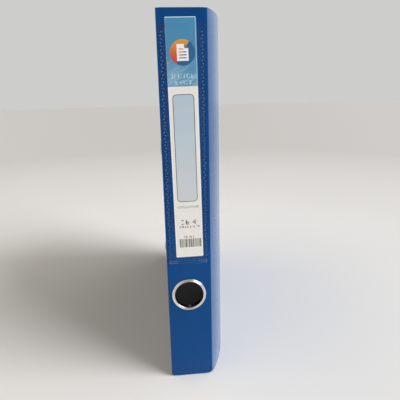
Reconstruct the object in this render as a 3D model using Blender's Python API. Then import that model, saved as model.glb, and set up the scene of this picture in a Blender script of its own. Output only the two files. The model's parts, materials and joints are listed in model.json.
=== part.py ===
"""Narrow lever arch file, closed and standing on its bottom edges.

Lengths are millimetres here and metres in the meshes. X runs across the spine from the rear cover
to the front cover, Y from the spine to the fore-edges, and Z up.
"""

import math

import bmesh
import bpy
from mathutils import Vector

MM = 0.001
SHARP_ANGLE = math.radians(35)

# Covers and spine
HEIGHT = 320.0
DEPTH = 285.0
SPINE_WIDTH = 38.5
FOIL = 0.3
FIT = 0.1
PANEL = 2.6
LINING = 0.2
LINING_GAP = 0.05
TURN_IN = 12.0
SPINE_TURN_IN = 2.6
CORNER = 2.5
LINING_INSET = 5.0

# Hinge creases
CREASE_RADIUS = 1.1
HINGE_X = SPINE_WIDTH / 2 - CREASE_RADIUS
HINGE_Y = CREASE_RADIUS
SPINE_EDGE = 16.7
REAR_START = 3.0
FRONT_START = 1.9

# Bow of the front cover: outward slope at the hinge, how fast it dies away, and the inward lean after it
BOW_SLOPE = 0.555
BOW_DECAY = 38.0
BOW_EASE = (57.0, 75.0, 110.0)
BOW_LEAN = -0.055
BOW_OFFSET = -0.15

# Finger ring
RING_X = -0.7
RING_Z = 85.1
RING_BORE = 12.75
RING_SLEEVE = 13.15
RING_HOLE = 13.45
RING_OUTER = 15.2

# Label pocket and label
POCKET_X = (-17.8, 16.9)
POCKET_CAVITY = (-14.0, 13.6)
POCKET_Z = (115.0, 309.8)
POCKET_FILM = 0.2
POCKET_LIFT = 0.8
POCKET_BULGE = 0.15
POCKET_STEP = 0.35
POCKET_FOOT = 3.0
POCKET_FOOT_X = 11.0
WELD_LIFT = 0.04
LABEL_WIDTH = 23.2
LABEL_HEIGHT = 191.6
LABEL_CENTRE = (0.0, 217.6)
LABEL_TILT = math.radians(0.63)
LABEL_Y = (-0.6, -0.3)

# Lever arch mechanism on the rear cover
MID_Z = 160.0
POST_SPACING = 80.0
PLATE_X = (-16.3, -15.3)
PLATE_Y = (24.0, 64.0)
PLATE_LENGTH = 112.0
ARCH_AXIS = (-12.0, 31.0)
POST_Y = 54.0
POST_RADIUS = 2.3
POST_TIP_RADIUS = 1.9
POST_X = (-16.25, 3.6)
ARCH_LUGS = (-31.5, -20.5, 20.5, 31.5)
LUG_SHEET = 5.0
LUG_ROOT = 0.5
WIRE_RADIUS = 1.6
ARCH_RADIUS = 12.25
ARCH_CENTRE_X = 6.0
ARCH_STEPS = 14
ARCH_BEND = 4.0
CRANK_RADIUS = 11.5
CRANK_ENDS = (7.0, 13.0)
CRANK_BEND = 3.0
CRANK_ANGLE = math.radians(10)
LEVER_PIVOT = (-3.0, 52.0)
LEVER_TRAVEL = math.radians(60)
ARCH_RATIO = 0.6
ROLLER_RADIUS = 3.0
ROLLER_BORE = 1.68
RUNNING_FIT = 0.08
ROLLER_LENGTH = 9.0
CAM_GAP = 0.3
LEVER_SHEET = 1.0
LEVER_HALF = 10.7
PIN_RADIUS = 1.5
PIN_HEAD_RADIUS = 2.5
PIN_HEAD = 1.0
LEVER_LUG = (11.7, 12.9)
RIVET_Y = (29.0, 59.0)
RIVET_OFFSET = 51.0
RIVET_SHANK = 2.0
BAR_X = (-14.8, -13.8)
BAR_EYE_FIT = 0.6

# Half of the compressor bar's outline, as (y from the posts, height): round the eye, then along its middle
BAR_OUTER = [(-5, 36), (-5, 45), (-3, 47), (5, 47), (8, 44), (13, 26)]
BAR_INNER = [(5, 23), (1, 31), (-3, 33)]

# Lever cheek and the web's run to the finger tab, as (along the lever, away from the rear cover)
CHEEK = [
    (-3.4, -2.4), (-1.2, -7), (0.6, -11), (2.2, -11.7), (4, -11.2), (8.5, -9.6), (12, -5.9), (16, -4.6),
    (20.2, -2.6), (20.2, 0.4), (12, 1.6), (4.4, 3), (2.4, 3.8), (0, 4.1), (-2.4, 3.4), (-4, 1),
]
TAB = [(15, -3.3), (19, -1.6), (24, 0.6), (28, 2.2), (30, 3.2), (31.2, 4.4), (31.4, 5.8)]
TAB_START = 20.5
TAB_TAPER = 0.33
TAB_ROUND = 1.4


def clear_scene():
    for obj in list(bpy.data.objects):
        bpy.data.objects.remove(obj, do_unlink=True)


def material(name, colour, roughness, metallic=0.0, alpha=1.0):
    made = bpy.data.materials.new(name)
    made.use_nodes = True
    shader = made.node_tree.nodes["Principled BSDF"]
    shader.inputs["Base Color"].default_value = (*colour, 1.0)
    shader.inputs["Roughness"].default_value = roughness
    shader.inputs["Metallic"].default_value = metallic
    shader.inputs["Alpha"].default_value = alpha
    made.diffuse_color = (*colour, alpha)
    return made


def body(name, points, faces, finish=None, smooth=False):
    """An object from points in millimetres, its faces turned outward and its sharp edges kept."""
    mesh = bpy.data.meshes.new(name)
    work = bmesh.new()
    verts = [work.verts.new(Vector(p) * MM) for p in points]
    for face in faces:
        work.faces.new([verts[i] for i in face]).smooth = smooth
    bmesh.ops.recalc_face_normals(work, faces=work.faces)
    work.to_mesh(mesh)
    work.free()
    mesh.set_sharp_from_angle(angle=SHARP_ANGLE)
    obj = bpy.data.objects.new(name, mesh)
    bpy.context.scene.collection.objects.link(obj)
    if finish is None:
        obj.hide_render = True
        obj.display_type = "WIRE"
    else:
        mesh.materials.append(material(name, *finish))
    return obj


def combine(obj, helper, operation="DIFFERENCE"):
    step = obj.modifiers.new(helper.name, "BOOLEAN")
    step.operation = operation
    step.solver = "EXACT"
    step.object = helper


def cell_body(name, lines, filled, place, finish, smooth=False):
    """The skin of the filled cells of a grid (u, z, n), each corner set by place(u, z, n)."""
    sizes = [len(axis) - 1 for axis in lines]

    def is_filled(cell):
        return all(0 <= cell[a] < sizes[a] for a in range(3)) and filled(*cell)

    index, points, faces = {}, [], []
    for cell in ((i, j, k) for i in range(sizes[0]) for j in range(sizes[1]) for k in range(sizes[2])):
        if not is_filled(cell):
            continue
        for axis in range(3):
            for side in (0, 1):
                beside = list(cell)
                beside[axis] += 2 * side - 1
                if is_filled(beside):
                    continue
                b, c = (axis + 1) % 3, (axis + 2) % 3
                face = []
                for db, dc in ((0, 0), (1, 0), (1, 1), (0, 1)):
                    corner = list(cell)
                    corner[axis] += side
                    corner[b] += db
                    corner[c] += dc
                    key = tuple(corner)
                    if key not in index:
                        index[key] = len(points)
                        points.append(place(*(lines[a][key[a]] for a in range(3))))
                    face.append(index[key])
                faces.append(face if side else face[::-1])
    return body(name, points, faces, finish, smooth)


def revolved(name, profile, centre, axis, finish, segments=48, closed=True, smooth=True):
    """A profile of (radius, height) turned round an axis. An open profile starts and ends on the axis."""
    axis = Vector(axis)
    side = axis.orthogonal().normalized()
    across = axis.cross(side)
    rings, points = [], []
    for radius, height in profile:
        foot = Vector(centre) + axis * height
        if radius == 0:
            rings.append([len(points)] * segments)
            points.append(foot)
            continue
        rings.append([len(points) + i for i in range(segments)])
        for i in range(segments):
            turn = 2 * math.pi * i / segments
            points.append(foot + radius * (math.cos(turn) * side + math.sin(turn) * across))
    faces = []
    for low, high in zip(rings, rings[1:] + (rings[:1] if closed else []), strict=False):
        for i in range(segments):
            j = (i + 1) % segments
            face = [low[i], low[j], high[j], high[i]]
            faces.append(list(dict.fromkeys(face)))
    return body(name, points, faces, finish, smooth)


def rod(name, start, axis, length, radius, finish=None, segments=32):
    profile = [(0, 0), (radius, 0), (radius, length), (0, length)]
    return revolved(name, profile, start, axis, finish, segments, closed=False, smooth=False)


def prism(name, outline, low, high, place, finish=None):
    """A flat outline of (a, b) pushed from low to high, each corner set by place(a, b, height)."""
    count = len(outline)
    points = [place(a, b, h) for h in (low, high) for a, b in outline]
    faces = [list(range(count)), list(range(2 * count - 1, count - 1, -1))]
    faces += [[i, (i + 1) % count, count + (i + 1) % count, count + i] for i in range(count)]
    return body(name, points, faces, finish)


def filleted(corners, steps=7):
    """A 3-D path through (point, radius) corners, with each corner rounded by its radius."""
    path = [Vector(corners[0][0])]
    for before, (corner, radius), after in zip(corners, corners[1:], corners[2:], strict=False):
        corner = Vector(corner)
        back = (Vector(before[0]) - corner).normalized()
        ahead = (Vector(after[0]) - corner).normalized()
        if radius == 0 or back.angle(-ahead) < 1e-4:
            path.append(corner)
            continue
        half = back.angle(ahead) / 2
        reach = radius / math.tan(half)
        centre = corner + (back + ahead).normalized() * radius / math.sin(half)
        first, last = corner + back * reach - centre, corner + ahead * reach - centre
        whole = first.angle(last)
        for i in range(steps + 1):
            share = i / steps
            one = math.sin((1 - share) * whole) / math.sin(whole)
            two = math.sin(share * whole) / math.sin(whole)
            path.append(centre + first * one + last * two)
    path.append(Vector(corners[-1][0]))
    return path


def wire(name, path, radius, finish, sides=14, nose=0.5):
    """A round wire along a path, with its two ends slightly narrowed."""
    tangents = []
    for i in range(len(path)):
        ahead = path[min(i + 1, len(path) - 1)] - path[max(i - 1, 0)]
        tangents.append(ahead.normalized())
    side = tangents[0].orthogonal().normalized()
    stops = [(path[0], tangents[0], radius - nose)]
    stops.append((path[0] + tangents[0] * nose, tangents[0], radius))
    stops += [(path[i], tangents[i], radius) for i in range(1, len(path) - 1)]
    stops.append((path[-1] - tangents[-1] * nose, tangents[-1], radius))
    stops.append((path[-1], tangents[-1], radius - nose))
    points, faces = [], []
    for middle, along, size in stops:
        side = (side - along * side.dot(along)).normalized()
        across = along.cross(side)
        for i in range(sides):
            turn = 2 * math.pi * i / sides
            points.append(middle + size * (math.cos(turn) * side + math.sin(turn) * across))
    for row in range(len(stops) - 1):
        for i in range(sides):
            j = (i + 1) % sides
            low, high = row * sides, (row + 1) * sides
            faces.append([low + i, low + j, high + j, high + i])
    faces.append(list(range(sides)))
    faces.append([len(points) - 1 - i for i in range(sides)])
    return body(name, points, faces, finish, smooth=True)


# Where the three panels lie


def bow_slope(y):
    start, top, lean = BOW_EASE
    if y < start:
        return BOW_SLOPE * math.exp(-y / BOW_DECAY)
    if y < top:
        return BOW_SLOPE * math.exp(-start / BOW_DECAY) * (top - y) / (top - start)
    return BOW_LEAN * min((y - top) / (lean - top), 1)


def bow_table(step=0.5):
    table, x, y = [], SPINE_WIDTH / 2 + BOW_OFFSET, 0.0
    while y <= DEPTH + step:
        table.append(x)
        x += step * bow_slope(y + step / 2)
        y += step
    return table, step


BOW, BOW_STEP = bow_table()


def corner_drop(y):
    """How far the bottom and top edges are cut back at depth y, for the rounded fore-edge corners."""
    past = y - (DEPTH - CORNER)
    return 0.0 if past <= 0 else CORNER - math.sqrt(max(CORNER**2 - past**2, 0.0))


def rounded(y, z):
    drop = corner_drop(y)
    low, high = max(1 - z / TURN_IN, 0.0), max(1 - (HEIGHT - z) / TURN_IN, 0.0)
    return z + drop * (low - high)


def on_spine(x, z, n):
    return x, n, z


def on_rear(y, z, n):
    return -SPINE_WIDTH / 2 + n, y, rounded(y, z)


def on_front(y, z, n):
    at = y / BOW_STEP
    i = int(at)
    x = BOW[i] + (at - i) * (BOW[i + 1] - BOW[i])
    slope = math.atan(bow_slope(y))
    return x - n * math.cos(slope), y + n * math.sin(slope), rounded(y, z)


def panel(prefix, place, ends, stations, turn_in, foil, board, lining, lining_inset):
    """Foil tray with turn-ins, the board in it, and the lining over the inner face."""
    low, high = ends
    top = HEIGHT
    inner = [s for s in stations if low + FOIL + 0.2 < s < high - FOIL - 0.2]
    u = sorted({low, low + FOIL, low + turn_in, high - turn_in, high - FOIL, high, *inner})
    z = [0, FOIL, TURN_IN, top - TURN_IN, top - FOIL, top]
    n = [0, FOIL, PANEL - FOIL, PANEL]

    def in_wrap(i, j, k):
        if k == 0:
            return True
        rim = FOIL if k == 1 else turn_in
        side = u[i] < low + rim - 1e-6 or u[i + 1] > high - rim + 1e-6
        edge = z[j] < (FOIL if k == 1 else TURN_IN) - 1e-6
        edge = edge or z[j + 1] > top - (FOIL if k == 1 else TURN_IN) + 1e-6
        return side or edge

    cell_body(f"{prefix}_wrap", (u, z, n), in_wrap, place, foil)
    gap = FOIL + FIT
    u = sorted({low + gap, high - gap, *[s for s in inner if low + gap + 0.1 < s < high - gap - 0.1]})
    lines = (u, [gap, TURN_IN, top - TURN_IN, top - gap], [gap, PANEL - gap])
    cell_body(f"{prefix}_board", lines, lambda *_: True, place, board)
    u = sorted({low + lining_inset, high - lining_inset})
    u = sorted({*u, *[s for s in inner if u[0] + 0.2 < s < u[1] - 0.2]})
    edge = LINING_INSET
    lines = (u, [edge, top - edge], [PANEL + LINING_GAP, PANEL + LINING_GAP + LINING])
    cell_body(f"{prefix}_lining", lines, lambda *_: True, place, lining)


def build_covers():
    blue = (0.012, 0.055, 0.19)
    foil = (blue, 0.42)
    board = ((0.32, 0.29, 0.25), 0.9)
    lining = ((0.012, 0.013, 0.015), 0.75)
    panel(
        "spine", on_spine, (-SPINE_EDGE, SPINE_EDGE), [-8, 0, 8], SPINE_TURN_IN,
        foil, board, lining, 1.2,
    )
    corner = [DEPTH - CORNER * (1 - math.sin(math.radians(a))) for a in (0, 25, 45, 62)]
    flat = [40, 80, 160, 240]
    panel(
        "rear_cover", on_rear, (REAR_START, DEPTH), flat + corner, TURN_IN,
        foil, board, lining, LINING_INSET,
    )
    bowed = [5, 8, 11, 14, 18, 22, 26, 31, 36, 41, 47, 53, 60, 68, 76, 85, 95, 105, 115, 150, 200, 245]
    panel(
        "front_cover", on_front, (FRONT_START, DEPTH), bowed + corner, TURN_IN,
        foil, board, lining, LINING_INSET,
    )
    crease = [(0, 0), (0.7, 0), (0.98, 0.25), (CREASE_RADIUS, 0.7), (CREASE_RADIUS, HEIGHT), (0, HEIGHT)]
    for name, side in (("front_hinge_crease", 1), ("rear_hinge_crease", -1)):
        foot = (side * HINGE_X, HINGE_Y, 0)
        revolved(name, crease, foot, (0, 0, 1), foil, 20, closed=False)


def build_finger_ring():
    nickel = ((0.72, 0.71, 0.68), 0.22, 1.0)
    centre, inward = (RING_X, 0, RING_Z), (0, 1, 0)
    hole = rod("cut_finger_hole", (RING_X, -3, RING_Z), inward, 9, RING_HOLE, None, 64)
    for name in ("spine_wrap", "spine_board", "spine_lining"):
        combine(bpy.data.objects[name], hole)
    outer = [
        (RING_BORE, 3.9), (RING_BORE, -0.9), (12.87, -1.2), (13.17, -1.35), (13.47, -1.24),
        (13.7, -0.9), (13.92, -0.72), (14.2, -0.84), (14.5, -1.1), (14.85, -1.04),
        (15.1, -0.68), (RING_OUTER, -0.1), (RING_SLEEVE, -0.1), (RING_SLEEVE, 3.9),
    ]
    revolved("finger_ring_outer", outer, centre, inward, nickel, 72)
    inner_face = PANEL + LINING_GAP + LINING
    inner = [
        (13.3, inner_face + 0.1), (15.1, inner_face + 0.1), (15.0, inner_face + 0.6),
        (14.6, inner_face + 0.95), (13.9, inner_face + 1.05), (13.3, inner_face + 0.8),
    ]
    revolved("finger_ring_inner", inner, centre, inward, nickel, 64)


def build_label():
    """The pocket is a film lifted off the spine, closed at the bottom corners and open at the top."""
    left, right = POCKET_CAVITY
    middle = [-11.5, -10.2, -5, 0, 5, 10.2, 11.5]
    x_lines = [POCKET_X[0], left - POCKET_STEP, left, *middle, right, right + POCKET_STEP, POCKET_X[1]]
    foot_top = POCKET_Z[0] + POCKET_FOOT
    z_lines = [POCKET_Z[0], foot_top, foot_top + 1.5, 160, 240, POCKET_Z[1]]

    def place(x, z, n):
        inside = left - 1e-6 <= x <= right + 1e-6
        foot = z <= foot_top + 1e-6 and abs(x) >= POCKET_FOOT_X
        bulge = POCKET_BULGE * math.cos(math.pi * x / (right - left))
        lift = POCKET_LIFT + bulge if inside and not foot else WELD_LIFT
        return x, -lift - POCKET_FILM * n, z

    film = ((0.75, 0.8, 0.85), 0.12, 0.0, 0.3)
    cell_body("label_pocket", (x_lines, z_lines, [0, 1]), lambda *_: True, place, film)

    half_w, half_h = LABEL_WIDTH / 2, LABEL_HEIGHT / 2
    cos, sin = math.cos(LABEL_TILT), math.sin(LABEL_TILT)

    def place_label(a, b, y):
        return LABEL_CENTRE[0] + a * cos - b * sin, y, LABEL_CENTRE[1] + a * sin + b * cos

    outline = [(-half_w, -half_h), (half_w, -half_h), (half_w, half_h), (-half_w, half_h)]
    card = ((0.7, 0.7, 0.68), 0.7)
    prism("label_insert", outline, *LABEL_Y, place_label, card)


# Mechanism

STEEL = ((0.62, 0.62, 0.61), 0.28, 1.0)


def flat_on_cover(y, z, x):
    return x, y, z


def rounded_box(low, high, radius, steps=4):
    """Outline of a rectangle with rounded corners."""
    outline = []
    for sx, sy, start in ((1, 1, 0), (-1, 1, 90), (-1, -1, 180), (1, -1, 270)):
        cx = (high[0] if sx > 0 else low[0]) - sx * radius
        cy = (high[1] if sy > 0 else low[1]) - sy * radius
        for i in range(steps + 1):
            turn = math.radians(start + 90 * i / steps)
            outline.append((cx + radius * math.cos(turn), cy + radius * math.sin(turn)))
    return outline


def build_plate():
    half = PLATE_LENGTH / 2
    outline = rounded_box((PLATE_Y[0], MID_Z - half), (PLATE_Y[1], MID_Z + half), 5)
    plate = prism("base_plate", outline, *PLATE_X, flat_on_cover, STEEL)
    root = PLATE_X[0] + LUG_ROOT
    for i, offset in enumerate(ARCH_LUGS):
        y, x = ARCH_AXIS[1], ARCH_AXIS[0]
        profile = [(y - 3.6, root), (y + 3.6, root), (y + 3.2, x + 1.4), (y + 1.9, x + 2.9)]
        profile += [(y - 1.9, x + 2.9), (y - 3.2, x + 1.4)]
        low, high = MID_Z + offset - LUG_SHEET / 2, MID_Z + offset + LUG_SHEET / 2
        lug = prism(f"add_arch_lug_{i}", profile, low, high, lambda a, b, h: (b, a, h))
        combine(plate, lug, "UNION")
    for i, (low, high) in enumerate((LEVER_LUG, (-LEVER_LUG[1], -LEVER_LUG[0]))):
        x, y = LEVER_PIVOT
        profile = [(y - 6, root), (y + 6, root), (y + 4.2, x), (y + 3.3, x + 2.6), (y + 1.2, x + 4)]
        profile += [(y - 1.2, x + 4), (y - 3.3, x + 2.6), (y - 4.2, x)]
        lug = prism(f"add_lever_lug_{i}", profile, MID_Z + low, MID_Z + high, lambda a, b, h: (b, a, h))
        combine(plate, lug, "UNION")
    bore = rod("cut_arch_bore", (*ARCH_AXIS, MID_Z - 40), (0, 0, 1), 80, WIRE_RADIUS + RUNNING_FIT)
    combine(plate, bore)
    bore = rod("cut_pin_bore", (*LEVER_PIVOT, MID_Z - 20), (0, 0, 1), 40, PIN_RADIUS + RUNNING_FIT)
    combine(plate, bore)
    for i, side in enumerate((-1, 1)):
        foot = (PLATE_X[0] - 2, POST_Y, MID_Z + side * POST_SPACING / 2)
        combine(plate, rod(f"cut_post_hole_{i}", foot, (1, 0, 0), 5, POST_RADIUS + RUNNING_FIT))


def build_posts():
    low, high = POST_X
    profile = [(0, low), (POST_RADIUS, low), (POST_RADIUS, high - 1), (POST_TIP_RADIUS, high), (0, high)]
    for name, side in (("post_lower", -1), ("post_upper", 1)):
        foot = (0, POST_Y, MID_Z + side * POST_SPACING / 2)
        revolved(name, profile, foot, (1, 0, 0), STEEL, 28, closed=False)


def crank_point(swing=0.0):
    """Centre of the roller with the arches swung open by an angle."""
    turn = CRANK_ANGLE + swing
    return ARCH_AXIS[0] + CRANK_RADIUS * math.sin(turn), ARCH_AXIS[1] + CRANK_RADIUS * math.cos(turn)


def build_arch():
    x0, y0 = ARCH_AXIS
    xc, yc = crank_point()
    top = MID_Z + POST_SPACING / 2
    centre_y = POST_Y - ARCH_RADIUS
    half = [((POST_X[1] + 0.3, POST_Y, top), 0)]
    for i in range(ARCH_STEPS + 1):
        turn = math.pi * i / ARCH_STEPS
        x = ARCH_CENTRE_X + ARCH_RADIUS * math.sin(turn)
        half.append(((x, centre_y + ARCH_RADIUS * math.cos(turn), top), 0))
    half += [((x0, y0 - 0.4, top), ARCH_BEND), ((x0, y0, top - ARCH_BEND - 0.5), 0)]
    half += [((x0, y0, MID_Z + CRANK_ENDS[1]), CRANK_BEND), ((xc, yc, MID_Z + CRANK_ENDS[0]), CRANK_BEND)]
    other = [((x, y, 2 * MID_Z - z), radius) for (x, y, z), radius in reversed(half)]
    wire("arch_wire", filleted(half + other), WIRE_RADIUS, STEEL)
    half_length = ROLLER_LENGTH / 2
    profile = [(ROLLER_BORE, -half_length), (ROLLER_RADIUS, -half_length)]
    profile += [(ROLLER_RADIUS, half_length), (ROLLER_BORE, half_length)]
    foot = (xc, yc, MID_Z)
    revolved("crank_roller", profile, foot, (0, 0, 1), STEEL, 32)


def on_lever(a, b, z):
    """a runs from the pivot towards the finger tab and b away from the rear cover."""
    return LEVER_PIVOT[0] + b, LEVER_PIVOT[1] - a, MID_Z + z


def cam_curve(steps=10):
    """The roller's path seen from the lever, moved out by the roller's radius: the web's underside."""
    path = []
    for i in range(steps + 1):
        turn = LEVER_TRAVEL * (1 - i / steps)
        x, y = crank_point(ARCH_RATIO * turn)
        a, b = LEVER_PIVOT[1] - y, x - LEVER_PIVOT[0]
        cos, sin = math.cos(turn), math.sin(turn)
        path.append((a * cos + b * sin, b * cos - a * sin))
    reach = ROLLER_RADIUS + CAM_GAP
    curve = []
    for i, (a, b) in enumerate(path):
        before, after = path[max(i - 1, 0)], path[min(i + 1, steps)]
        da, db = after[0] - before[0], after[1] - before[1]
        size = math.hypot(da, db)
        curve.append((a - reach * db / size, b + reach * da / size))
    first = math.atan2(curve[-1][1] - path[-1][1], curve[-1][0] - path[-1][0])
    for share in (0.5, 1.0):
        turn = first + (math.pi / 2 - first) * share
        curve.append((path[-1][0] + reach * math.cos(turn), path[-1][1] + reach * math.sin(turn)))
    return curve


def build_lever():
    curve = cam_curve() + TAB
    widths = [LEVER_HALF - 0.5 - max(a - TAB_START, 0) * TAB_TAPER for a, _ in curve]
    widths[-1] -= TAB_ROUND
    points, faces = [], []
    for i, (a, b) in enumerate(curve):
        before, after = curve[max(i - 1, 0)], curve[min(i + 1, len(curve) - 1)]
        da, db = after[0] - before[0], after[1] - before[1]
        size = math.hypot(da, db)
        back = (a - LEVER_SHEET * db / size, b + LEVER_SHEET * da / size)
        for where in ((a, b), back):
            points += [on_lever(*where, -widths[i]), on_lever(*where, widths[i])]
    for i in range(len(curve) - 1):
        p, q = 4 * i, 4 * i + 4
        faces += [[p, p + 1, q + 1, q], [p + 2, q + 2, q + 3, p + 3]]
        faces += [[p, q, q + 2, p + 2], [p + 1, p + 3, q + 3, q + 1]]
    end = len(points) - 4
    faces += [[0, 2, 3, 1], [end, end + 1, end + 3, end + 2]]
    lever = body("lever", points, faces, STEEL)
    for i, side in enumerate((-1, 1)):
        low, high = sorted((side * (LEVER_HALF - LEVER_SHEET), side * LEVER_HALF))
        combine(lever, prism(f"add_cheek_{i}", CHEEK, low, high, on_lever), "UNION")
    bore = rod("cut_lever_bore", (*LEVER_PIVOT, MID_Z - 20), (0, 0, 1), 40, PIN_RADIUS + RUNNING_FIT)
    combine(lever, bore)
    out = LEVER_LUG[1] + 0.15
    head = [(PIN_RADIUS, out), (PIN_HEAD_RADIUS, out), (PIN_HEAD_RADIUS, out + 0.6 * PIN_HEAD)]
    head += [(PIN_HEAD_RADIUS - 0.4, out + PIN_HEAD), (0, out + PIN_HEAD)]
    profile = [(radius, -height) for radius, height in reversed(head)] + head
    revolved("lever_pin", profile, (*LEVER_PIVOT, MID_Z), (0, 0, 1), STEEL, 24, closed=False)


def build_compressor():
    half = POST_SPACING / 2
    upper = [(POST_Y + y, z) for y, z in BAR_OUTER]
    lower = [(y, -z) for y, z in reversed(upper)]
    inside = [(POST_Y + y, z) for y, z in BAR_INNER]
    outline = upper + lower + [(y, -z) for y, z in reversed(inside)] + inside
    bar = prism("compressor_bar", outline, *BAR_X, lambda y, z, x: (x, y, MID_Z + z), STEEL)
    for i, side in enumerate((-1, 1)):
        foot = (BAR_X[0] - 2, POST_Y, MID_Z + side * half)
        combine(bar, rod(f"cut_eye_{i}", foot, (1, 0, 0), 5, POST_RADIUS + BAR_EYE_FIT))


def build_rivets():
    """Domed heads outside the rear cover, and flat heads on the plate."""
    outside, inside = -SPINE_WIDTH / 2 - 0.05, PLATE_X[1] + 0.05
    profile = [
        (0, outside - 1.1), (1.6, outside - 1.0), (3.0, outside - 0.7), (3.8, outside - 0.3), (4, outside),
        (RIVET_SHANK, outside), (RIVET_SHANK, inside), (3.2, inside), (3.1, inside + 0.5),
        (2.6, inside + 0.8), (0, inside + 0.8),
    ]
    targets = ["rear_cover_wrap", "rear_cover_board", "rear_cover_lining", "base_plate"]
    spots = [(y, MID_Z + side * RIVET_OFFSET) for side in (-1, 1) for y in RIVET_Y]
    for i, (y, z) in enumerate(spots, 1):
        revolved(f"rivet_{i}", profile, (0, y, z), (1, 0, 0), STEEL, 28, closed=False)
        hole = rod(f"cut_rivet_hole_{i}", (outside - 3, y, z), (1, 0, 0), 9, RIVET_SHANK + 0.2, None, 24)
        for name in targets:
            combine(bpy.data.objects[name], hole)


def centre_on_box():
    """Centres the box round the closed file on the Z axis, and returns the move."""
    seen = [obj for obj in bpy.data.objects if not obj.hide_render]
    corners = [vert.co for obj in seen for vert in obj.data.vertices]
    middle = [(min(c[a] for c in corners) + max(c[a] for c in corners)) / 2 for a in (0, 1)]
    move = Vector((-middle[0], -middle[1], 0))
    for obj in bpy.data.objects:
        for vert in obj.data.vertices:
            vert.co += move
    return move


def hang(name, pivot, parent, members):
    """An empty on a joint's axis, carrying the pieces that move about it."""
    empty = bpy.data.objects.new(name, None)
    bpy.context.scene.collection.objects.link(empty)
    empty.empty_display_size = 0.02
    empty.parent = parent[0] if parent else None
    empty.location = pivot - (parent[1] if parent else Vector())
    for member in members:
        obj = bpy.data.objects[member]
        obj.parent = empty
        obj.location = -pivot
    return empty, pivot


def build_pivots(move):
    def spot(x, y, z=MID_Z):
        return Vector((x, y, z)) * MM + move

    xc, yc = crank_point()
    covers = [f"_{layer}" for layer in ("wrap", "board", "lining")]
    hang("front_cover_pivot", spot(HINGE_X, HINGE_Y), None, [f"front_cover{layer}" for layer in covers])
    rear = [f"rear_cover{layer}" for layer in covers] + [f"rivet_{i}" for i in range(1, 5)]
    rear += ["base_plate", "post_lower", "post_upper", "lever_pin"]
    rear_pivot = hang("rear_cover_pivot", spot(-HINGE_X, HINGE_Y), None, rear)
    hang("lever_pivot", spot(*LEVER_PIVOT), rear_pivot, ["lever"])
    arches = hang("arch_pivot", spot(*ARCH_AXIS), rear_pivot, ["arch_wire"])
    hang("roller_pivot", spot(xc, yc), arches, ["crank_roller"])
    hang("compressor_pivot", spot(BAR_X[0], POST_Y), rear_pivot, ["compressor_bar"])
    hang("label_pivot", spot(LABEL_CENTRE[0], LABEL_Y[0], LABEL_CENTRE[1]), None, ["label_insert"])


clear_scene()
build_covers()
build_finger_ring()
build_label()
build_plate()
build_posts()
build_arch()
build_lever()
build_compressor()
build_rivets()
build_pivots(centre_on_box())
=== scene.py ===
"""Looks of the narrow lever arch file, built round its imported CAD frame.

Lengths are millimetres, measured from the foot of the spine's outer face: x across the spine,
y from the spine to the fore-edges, z up. at() turns them into the frame's metres.
"""

import json
import math
import random

import bmesh
import bpy
from mathutils import Matrix, Vector

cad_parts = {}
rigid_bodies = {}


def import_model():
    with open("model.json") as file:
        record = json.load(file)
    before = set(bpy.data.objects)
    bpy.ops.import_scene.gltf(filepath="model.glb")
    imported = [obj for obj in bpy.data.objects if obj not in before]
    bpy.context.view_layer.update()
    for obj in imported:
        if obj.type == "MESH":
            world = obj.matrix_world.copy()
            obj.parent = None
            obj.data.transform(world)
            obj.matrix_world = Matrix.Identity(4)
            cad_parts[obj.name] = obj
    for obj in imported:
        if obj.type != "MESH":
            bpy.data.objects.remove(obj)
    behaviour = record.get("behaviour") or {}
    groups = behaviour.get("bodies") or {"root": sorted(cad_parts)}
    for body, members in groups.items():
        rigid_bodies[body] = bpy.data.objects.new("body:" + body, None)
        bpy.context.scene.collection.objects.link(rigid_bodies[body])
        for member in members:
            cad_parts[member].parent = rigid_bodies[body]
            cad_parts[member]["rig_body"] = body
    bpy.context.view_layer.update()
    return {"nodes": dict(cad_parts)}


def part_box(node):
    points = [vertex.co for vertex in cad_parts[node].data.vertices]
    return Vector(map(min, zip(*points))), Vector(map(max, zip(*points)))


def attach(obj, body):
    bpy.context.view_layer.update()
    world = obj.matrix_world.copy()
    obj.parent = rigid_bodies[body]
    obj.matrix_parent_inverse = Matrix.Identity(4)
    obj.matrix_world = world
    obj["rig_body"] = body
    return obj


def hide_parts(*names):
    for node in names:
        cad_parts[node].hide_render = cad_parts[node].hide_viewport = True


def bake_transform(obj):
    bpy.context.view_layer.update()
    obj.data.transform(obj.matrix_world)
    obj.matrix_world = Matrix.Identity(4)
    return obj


MM = 0.001

# Sizes shared with the CAD model
HEIGHT = 320.0
DEPTH = 285.0
SPINE_WIDTH = 38.5
SPINE_EDGE = 16.7
PANEL = 2.6
CORNER = 2.5
REAR_START = 3.0
FRONT_START = 1.9
BOW_SLOPE = 0.555
BOW_DECAY = 38.0
BOW_EASE = (57.0, 75.0, 110.0)
BOW_LEAN = -0.055
BOW_OFFSET = -0.15
RING_X = -0.7
RING_Z = 85.1
RING_BORE = 12.75
RING_OUTER = 15.2
POCKET_X = (-17.8, 16.9)
POCKET_CAVITY = (-14.0, 13.6)
POCKET_Z = (115.0, 309.8)
POCKET_LIFT = 0.8
POCKET_FOOT = 3.0
WELD_LIFT = 0.04
LABEL_WIDTH = 23.2
LABEL_HEIGHT = 191.6
LABEL_CENTRE = (0.0, 217.6)
LABEL_TILT = math.radians(0.63)

# Largest angle in degrees between faces that are shaded as one surface, here and on the CAD's own shapes
SMOOTH_UP_TO = 35
CAD_SMOOTH_UP_TO = 38

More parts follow.
